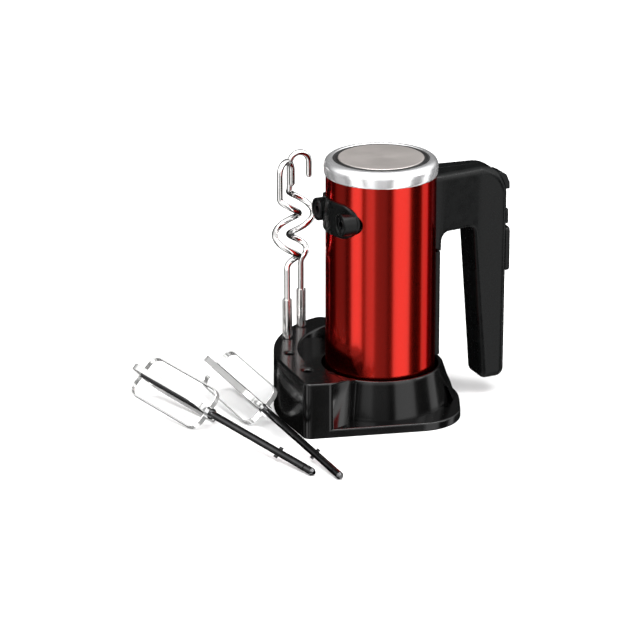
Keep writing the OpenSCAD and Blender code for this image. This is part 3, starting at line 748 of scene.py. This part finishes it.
def handle_envelope(side):
    """The handle's outside with rounded edges, on one side of the parting plane."""
    outline = thinned(rounded(OUTLINE, 4))
    # The edges are rounder round the grip and along the top than under the arm
    radius = np.array([
        3.2 + 2.5 * smoothstep((128 - z) / 24) + 2.8 * smoothstep((z - 146) / 20)
        for x, z in outline
    ])
    widen = np.array([FULL_HALF / half_width(x) for x, z in outline])
    rings = [(0.28, 0 * radius), (0.05, 0.2 + 0 * radius)]
    rings += [
        (radius[:, None] * i, FULL_HALF - SKIN - radius * widen * d)
        for i, d in edge_profile(1.0, 8)
    ]
    solid = loft(
        "handle_envelope",
        [
            [(x, y, z) for (x, z), y in zip(inset(outline, SKIN + i), ys)]
            for i, ys in rings
        ],
    )
    bm = bmesh.new()
    bm.from_mesh(solid.data)
    for x in np.arange(36, 96, 3.0):
        bmesh.ops.bisect_plane(
            bm, geom=bm.verts[:] + bm.edges[:] + bm.faces[:], plane_co=(x * MM, 0, 0),
            plane_no=(1, 0, 0), dist=1e-7,
        )
    for v in bm.verts:
        v.co.y *= side * half_width(v.co.x / MM) / FULL_HALF
    bmesh.ops.recalc_face_normals(bm, faces=bm.faces)
    bm.to_mesh(solid.data)
    bm.free()
    return solid


for node, side in (("handle_left_shell", 1), ("handle_right_shell", -1)):
    half = copied(node, node.replace("shell", "grip"))
    boolean(half, handle_envelope(side), "INTERSECT")
    tidy(half, 0.004)
    finish_piece(half, node)

for node, name, width in (
    ("eject_button", "eject_key", 0.9),
    ("turbo_button", "turbo_key", 0.6),
    ("speed_slider", "speed_key", 0.45),
    ("speed_bezel", "speed_frame", 0.7),
    ("back_spine", "back_strip", 0.8),
):
    part = copied(node, name)
    tidy(part, flat=1.0)
    bevel(part, width)
    finish_piece(part, node)

# ---- Hooks and beaters ---------------------------------------------------


def resampled(points, spacing):
    """The same path with evenly spaced points."""
    p = np.array(points, float)
    gaps = np.linalg.norm(np.diff(p, axis=0), axis=1)
    s = np.concatenate([[0], np.cumsum(gaps)])
    n = max(4, int(s[-1] / spacing))
    t = np.linspace(0, s[-1], n + 1)
    return np.stack([np.interp(t, s, p[:, i]) for i in range(3)], 1)


def relaxed(p, rounds):
    """The path smoothed, with its ends kept."""
    for _ in range(rounds):
        q = p.copy()
        q[1:-1] = (p[:-2] + 2 * p[1:-1] + p[2:]) / 4
        p = q
    return p


def tube_rings(path, radius, sides):
    """Rings along a path, carried without twist, with a rounded far end."""
    t = np.gradient(path, axis=0)
    t /= np.linalg.norm(t, axis=1)[:, None]
    n = np.array([1.0, 0, 0]) if abs(t[0][0]) < 0.9 else np.array([0, 1.0, 0])
    rings = []
    places = [(i, 0.0, radius) for i in range(len(path))]
    places += [
        (len(path) - 1, radius * math.sin(a), radius * math.cos(a))
        for a in (math.radians(d) for d in (20, 40, 60, 75, 86))
    ]
    for i, ahead, r in places:
        n = unit(n - (n @ t[i]) * t[i])
        b = np.cross(t[i], n)
        rings.append([
            path[i] + ahead * t[i] + r * (math.cos(a) * n + math.sin(a) * b)
            for a in (2 * math.pi * k / sides for k in range(sides))
        ])
    return rings


COIL_R, COIL_LOW, COIL_HIGH, COIL_PITCH, COIL_LEAD = 9, 97.5, 153.5, 33, 14
ARCH_R, ARCH_Z, ARCH_END_Z = 7.75, 173.7, 163.5
ROD_R, ROD_STEP = 2.2, 0.8


def hook_path(hand):
    """Shank, coil, leg and arch; hand is 1 or -1."""
    path = [(0, 0, 74), (0, 0, 76), (0, 0, 86)]
    for i in range(161):
        z = COIL_LOW + (COIL_HIGH - COIL_LOW) * i / 160
        a = hand * 2 * math.pi * (COIL_HIGH - z) / COIL_PITCH
        r = COIL_R * smoothstep((z - COIL_LOW) / COIL_LEAD)
        path.append((r * math.cos(a), r * math.sin(a), z))
    path += [(COIL_R, 0, COIL_HIGH + 4), (COIL_R, 0, ARCH_Z - 5)]
    for k in range(37):
        a = math.radians(5 * k)
        path.append((COIL_R - ARCH_R + ARCH_R * math.cos(a), 0, ARCH_Z + ARCH_R * math.sin(a)))
    path.append((COIL_R - 2 * ARCH_R, 0, ARCH_END_Z))
    return path


for side, place, hand, heading in (
    ("front", HOLES[0], 1, -148.5),
    ("back", HOLES[1], -1, 180),
):
    path = relaxed(resampled(hook_path(hand), ROD_STEP), 8)
    path = resampled(path, ROD_STEP)
    rod = loft(f"hook_{side}_wire", tube_rings(path, ROD_R, 20))
    turn = Matrix.Translation((place[0] * MM, place[1] * MM, 0)) @ Matrix.Rotation(
        math.radians(heading), 4, "Z"
    )
    rod.data.transform(turn)
    finish_piece(rod, f"hook_{side}_rod", "wire_chrome", 60)
    shank = copied(f"hook_{side}_shank", f"hook_{side}_sleeve")
    tidy(shank, flat=0.6)
    bevel(shank, 0.22, 2, 40)
    finish_piece(shank, f"hook_{side}_shank", "wire_chrome")

BEATER_LEN, CAGE_LEN, CAGE_R, STRIP_W, STRIP_T = 200, 80, 17, 4.6, 1.0
SHANK_R, REST_Z = 2.7, 2.85
# A beater lies on its shank's end and on two strips of its cage
TILT = math.degrees(
    math.asin(
        ((CAGE_R + STRIP_W / 2) * math.sin(math.radians(45)) - SHANK_R)
        / (BEATER_LEN - CAGE_LEN + 10)
    )
)


def strip_loop(name, inward):
    """A strip with rounded edges bent round into a loop with rounded corners."""
    half = CAGE_LEN / 2 - inward - STRIP_T / 2
    wide = CAGE_R - STRIP_T / 2
    r = 8.5
    line = thinned(
        rounded([(-wide, -half, r), (wide, -half, r), (wide, half, r), (-wide, half, r)], 5)
    )
    w, t, c = STRIP_W / 2, STRIP_T / 2 - 0.02, 0.32
    section = rounded([(-w, -t, c), (w, -t, c), (w, t, c), (-w, t, c)], 30)
    rings = []
    before, after = np.roll(line, 1, 0), np.roll(line, -1, 0)
    ahead = after - before
    ahead /= np.linalg.norm(ahead, axis=1)[:, None]
    for p, d in zip(line, ahead):
        n = np.array([d[1], -d[0]])
        rings.append([
            (p[0] + n[0] * v, u, p[1] + n[1] * v + BEATER_LEN - CAGE_LEN / 2) for u, v in section
        ])
    return loft(name, rings, closed=True)


for side, place, heading in (
    ("left", (-100.7, -108.2), 105.7),
    ("right", (-86.5, -122.8), 93.5),
):
    move = (
        Matrix.Translation((place[0] * MM, place[1] * MM, REST_Z * MM))
        @ Matrix.Rotation(math.radians(heading), 4, "Z")
        @ Matrix.Rotation(math.radians(90 - TILT), 4, "Y")
    )
    outer = strip_loop(f"beater_{side}_cage", 0)
    outer.data.transform(Matrix.Rotation(math.radians(45), 4, "Z"))
    inner = strip_loop("inner", STRIP_T + 0.05)
    inner.data.transform(Matrix.Rotation(math.radians(-45), 4, "Z"))
    bm = bmesh.new()
    bm.from_mesh(outer.data)
    bm.from_mesh(inner.data)
    bm.to_mesh(outer.data)
    bm.free()
    drop(inner)
    outer.data.transform(move)
    finish_piece(outer, f"beater_{side}_blades", "blade_chrome", 40)

# ---- Camera, floor and light ---------------------------------------------

camera = bpy.data.objects.new("camera", bpy.data.cameras.new("camera"))
scene.collection.objects.link(camera)
scene.camera = camera
camera.location = (-1.0372, -2.2217, 0.9357)
look = Vector((-0.04006, 0.01784, 0.0695)) - camera.location
camera.rotation_euler = look.to_track_quat("-Z", "Y").to_euler()
camera.data.sensor_width = 36
camera.data.lens = 200.73
camera.data.clip_end = 30


def floor():
    """A plain pale floor that the gloss doesn't mirror."""
    bm = bmesh.new()
    bmesh.ops.create_grid(bm, x_segments=8, y_segments=8, size=6)
    mesh = bpy.data.meshes.new("floor")
    bm.to_mesh(mesh)
    bm.free()
    obj = bpy.data.objects.new("floor", mesh)
    scene.collection.objects.link(obj)
    mat, bsdf = shader("floor", (0.9, 0.9, 0.9), 0.9)
    cloud = noise(mat, coords(mat), 0.004, 2)
    link(
        mat,
        ramp(mat, cloud, [(0.3, (0.89, 0.89, 0.89)), (0.7, (0.91, 0.91, 0.91))]),
        bsdf.inputs["Base Color"],
    )
    bsdf.inputs["Specular IOR Level"].default_value = 0.0
    mesh.materials.append(mat)
    obj.visible_glossy = False


# Each strip's heading, half width and soft edge in degrees, and its strength
STRIPS = [
    (-166, 9, 5, 1.7),
    (-70, 15, 6, 1.7),
    (-10, 7, 5, 1.2),
    (-137, 5, 7, 1.0),
    (-116, 10, 10, 0.3),
    (-208, 10, 8, 0.25),
]


def studio():
    """A white room above the horizon, darker at the back, with tall soft strips of light."""
    world = bpy.data.worlds.new("studio")
    scene.world = world
    world.use_nodes = True
    tree = world.node_tree
    new, connect = tree.nodes.new, tree.links.new
    where = new("ShaderNodeTexCoord")
    split = new("ShaderNodeSeparateXYZ")
    connect(where.outputs["Generated"], split.inputs["Vector"])
    level = new("ShaderNodeVectorMath")
    level.operation = "MULTIPLY"
    level.inputs[1].default_value = (1, 1, 0)
    connect(where.outputs["Generated"], level.inputs[0])
    heading = new("ShaderNodeVectorMath")
    heading.operation = "NORMALIZE"
    connect(level.outputs["Vector"], heading.inputs[0])
    sky = new("ShaderNodeMapRange")
    sky.interpolation_type = "SMOOTHSTEP"
    for key, v in (("From Min", -0.02), ("From Max", 0.3), ("To Min", 0.03), ("To Max", 0.95)):
        sky.inputs[key].default_value = v
    connect(split.outputs["Z"], sky.inputs["Value"])
    dim = new("ShaderNodeVectorMath")
    dim.operation = "DOT_PRODUCT"
    low, back = math.radians(12), math.radians(80)
    dim.inputs[1].default_value = (
        math.cos(back) * math.cos(low), math.sin(back) * math.cos(low), math.sin(low)
    )
    connect(where.outputs["Generated"], dim.inputs[0])
    shade_back = new("ShaderNodeMapRange")
    shade_back.interpolation_type = "SMOOTHSTEP"
    for key, v in (("From Min", 0.42), ("From Max", 0.86), ("To Min", 1.0), ("To Max", 0.06)):
        shade_back.inputs[key].default_value = v
    connect(dim.outputs["Value"], shade_back.inputs["Value"])
    sky_dimmed = new("ShaderNodeMath")
    sky_dimmed.operation = "MULTIPLY"
    connect(sky.outputs["Result"], sky_dimmed.inputs[0])
    connect(shade_back.outputs["Result"], sky_dimmed.inputs[1])
    total = sky_dimmed.outputs["Value"]
    for angle, half, soft, strength in STRIPS:
        a = math.radians(angle)
        dot = new("ShaderNodeVectorMath")
        dot.operation = "DOT_PRODUCT"
        dot.inputs[1].default_value = (math.cos(a), math.sin(a), 0)
        connect(heading.outputs["Vector"], dot.inputs[0])
        strip = new("ShaderNodeMapRange")
        strip.interpolation_type = "SMOOTHSTEP"
        for key, v in (
            ("From Min", math.cos(math.radians(half + soft))),
            ("From Max", math.cos(math.radians(half))),
            ("To Min", 0.0),
            ("To Max", strength),
        ):
            strip.inputs[key].default_value = v
        connect(dot.outputs["Value"], strip.inputs["Value"])
        add = new("ShaderNodeMath")
        add.operation = "ADD"
        connect(total, add.inputs[0])
        connect(strip.outputs["Result"], add.inputs[1])
        total = add.outputs["Value"]
    background = tree.nodes["Background"]
    background.inputs["Color"].default_value = (1, 1, 1, 1)
    connect(total, background.inputs["Strength"])
    # The room seen straight on is plain white
    white = new("ShaderNodeBackground")
    white.inputs["Color"].default_value = (1, 1, 1, 1)
    path = new("ShaderNodeLightPath")
    mix = new("ShaderNodeMixShader")
    connect(path.outputs["Is Camera Ray"], mix.inputs["Fac"])
    connect(background.outputs["Background"], mix.inputs[1])
    connect(white.outputs["Background"], mix.inputs[2])
    connect(mix.outputs["Shader"], tree.nodes["World Output"].inputs["Surface"])


def softbox(name, place, target, size, power):
    """A rectangular light at place, turned towards target."""
    data = bpy.data.lights.new(name, "AREA")
    data.shape = "RECTANGLE"
    data.size, data.size_y = size
    data.energy = power
    obj = bpy.data.objects.new(name, data)
    scene.collection.objects.link(obj)
    obj.location = place
    aim = Vector(target) - Vector(place)
    obj.rotation_euler = aim.to_track_quat("-Z", "Y").to_euler()
    return obj


floor()
studio()
softbox("key", (-1.1, -1.0, 1.7), (0, 0, 0.08), (0.9, 0.9), 12)
# The overhead light points straight down, with its long side across the picture
top = softbox("top", (0.15, -0.35, 1.9), (0, 0, 0.1), (2.4, 0.35), 28)
top.rotation_euler = (0, 0, math.radians(-24))
softbox("fill", (1.3, -0.9, 1.1), (0, 0, 0.1), (0.5, 1.4), 7)
scene.view_settings.view_transform = "Standard"
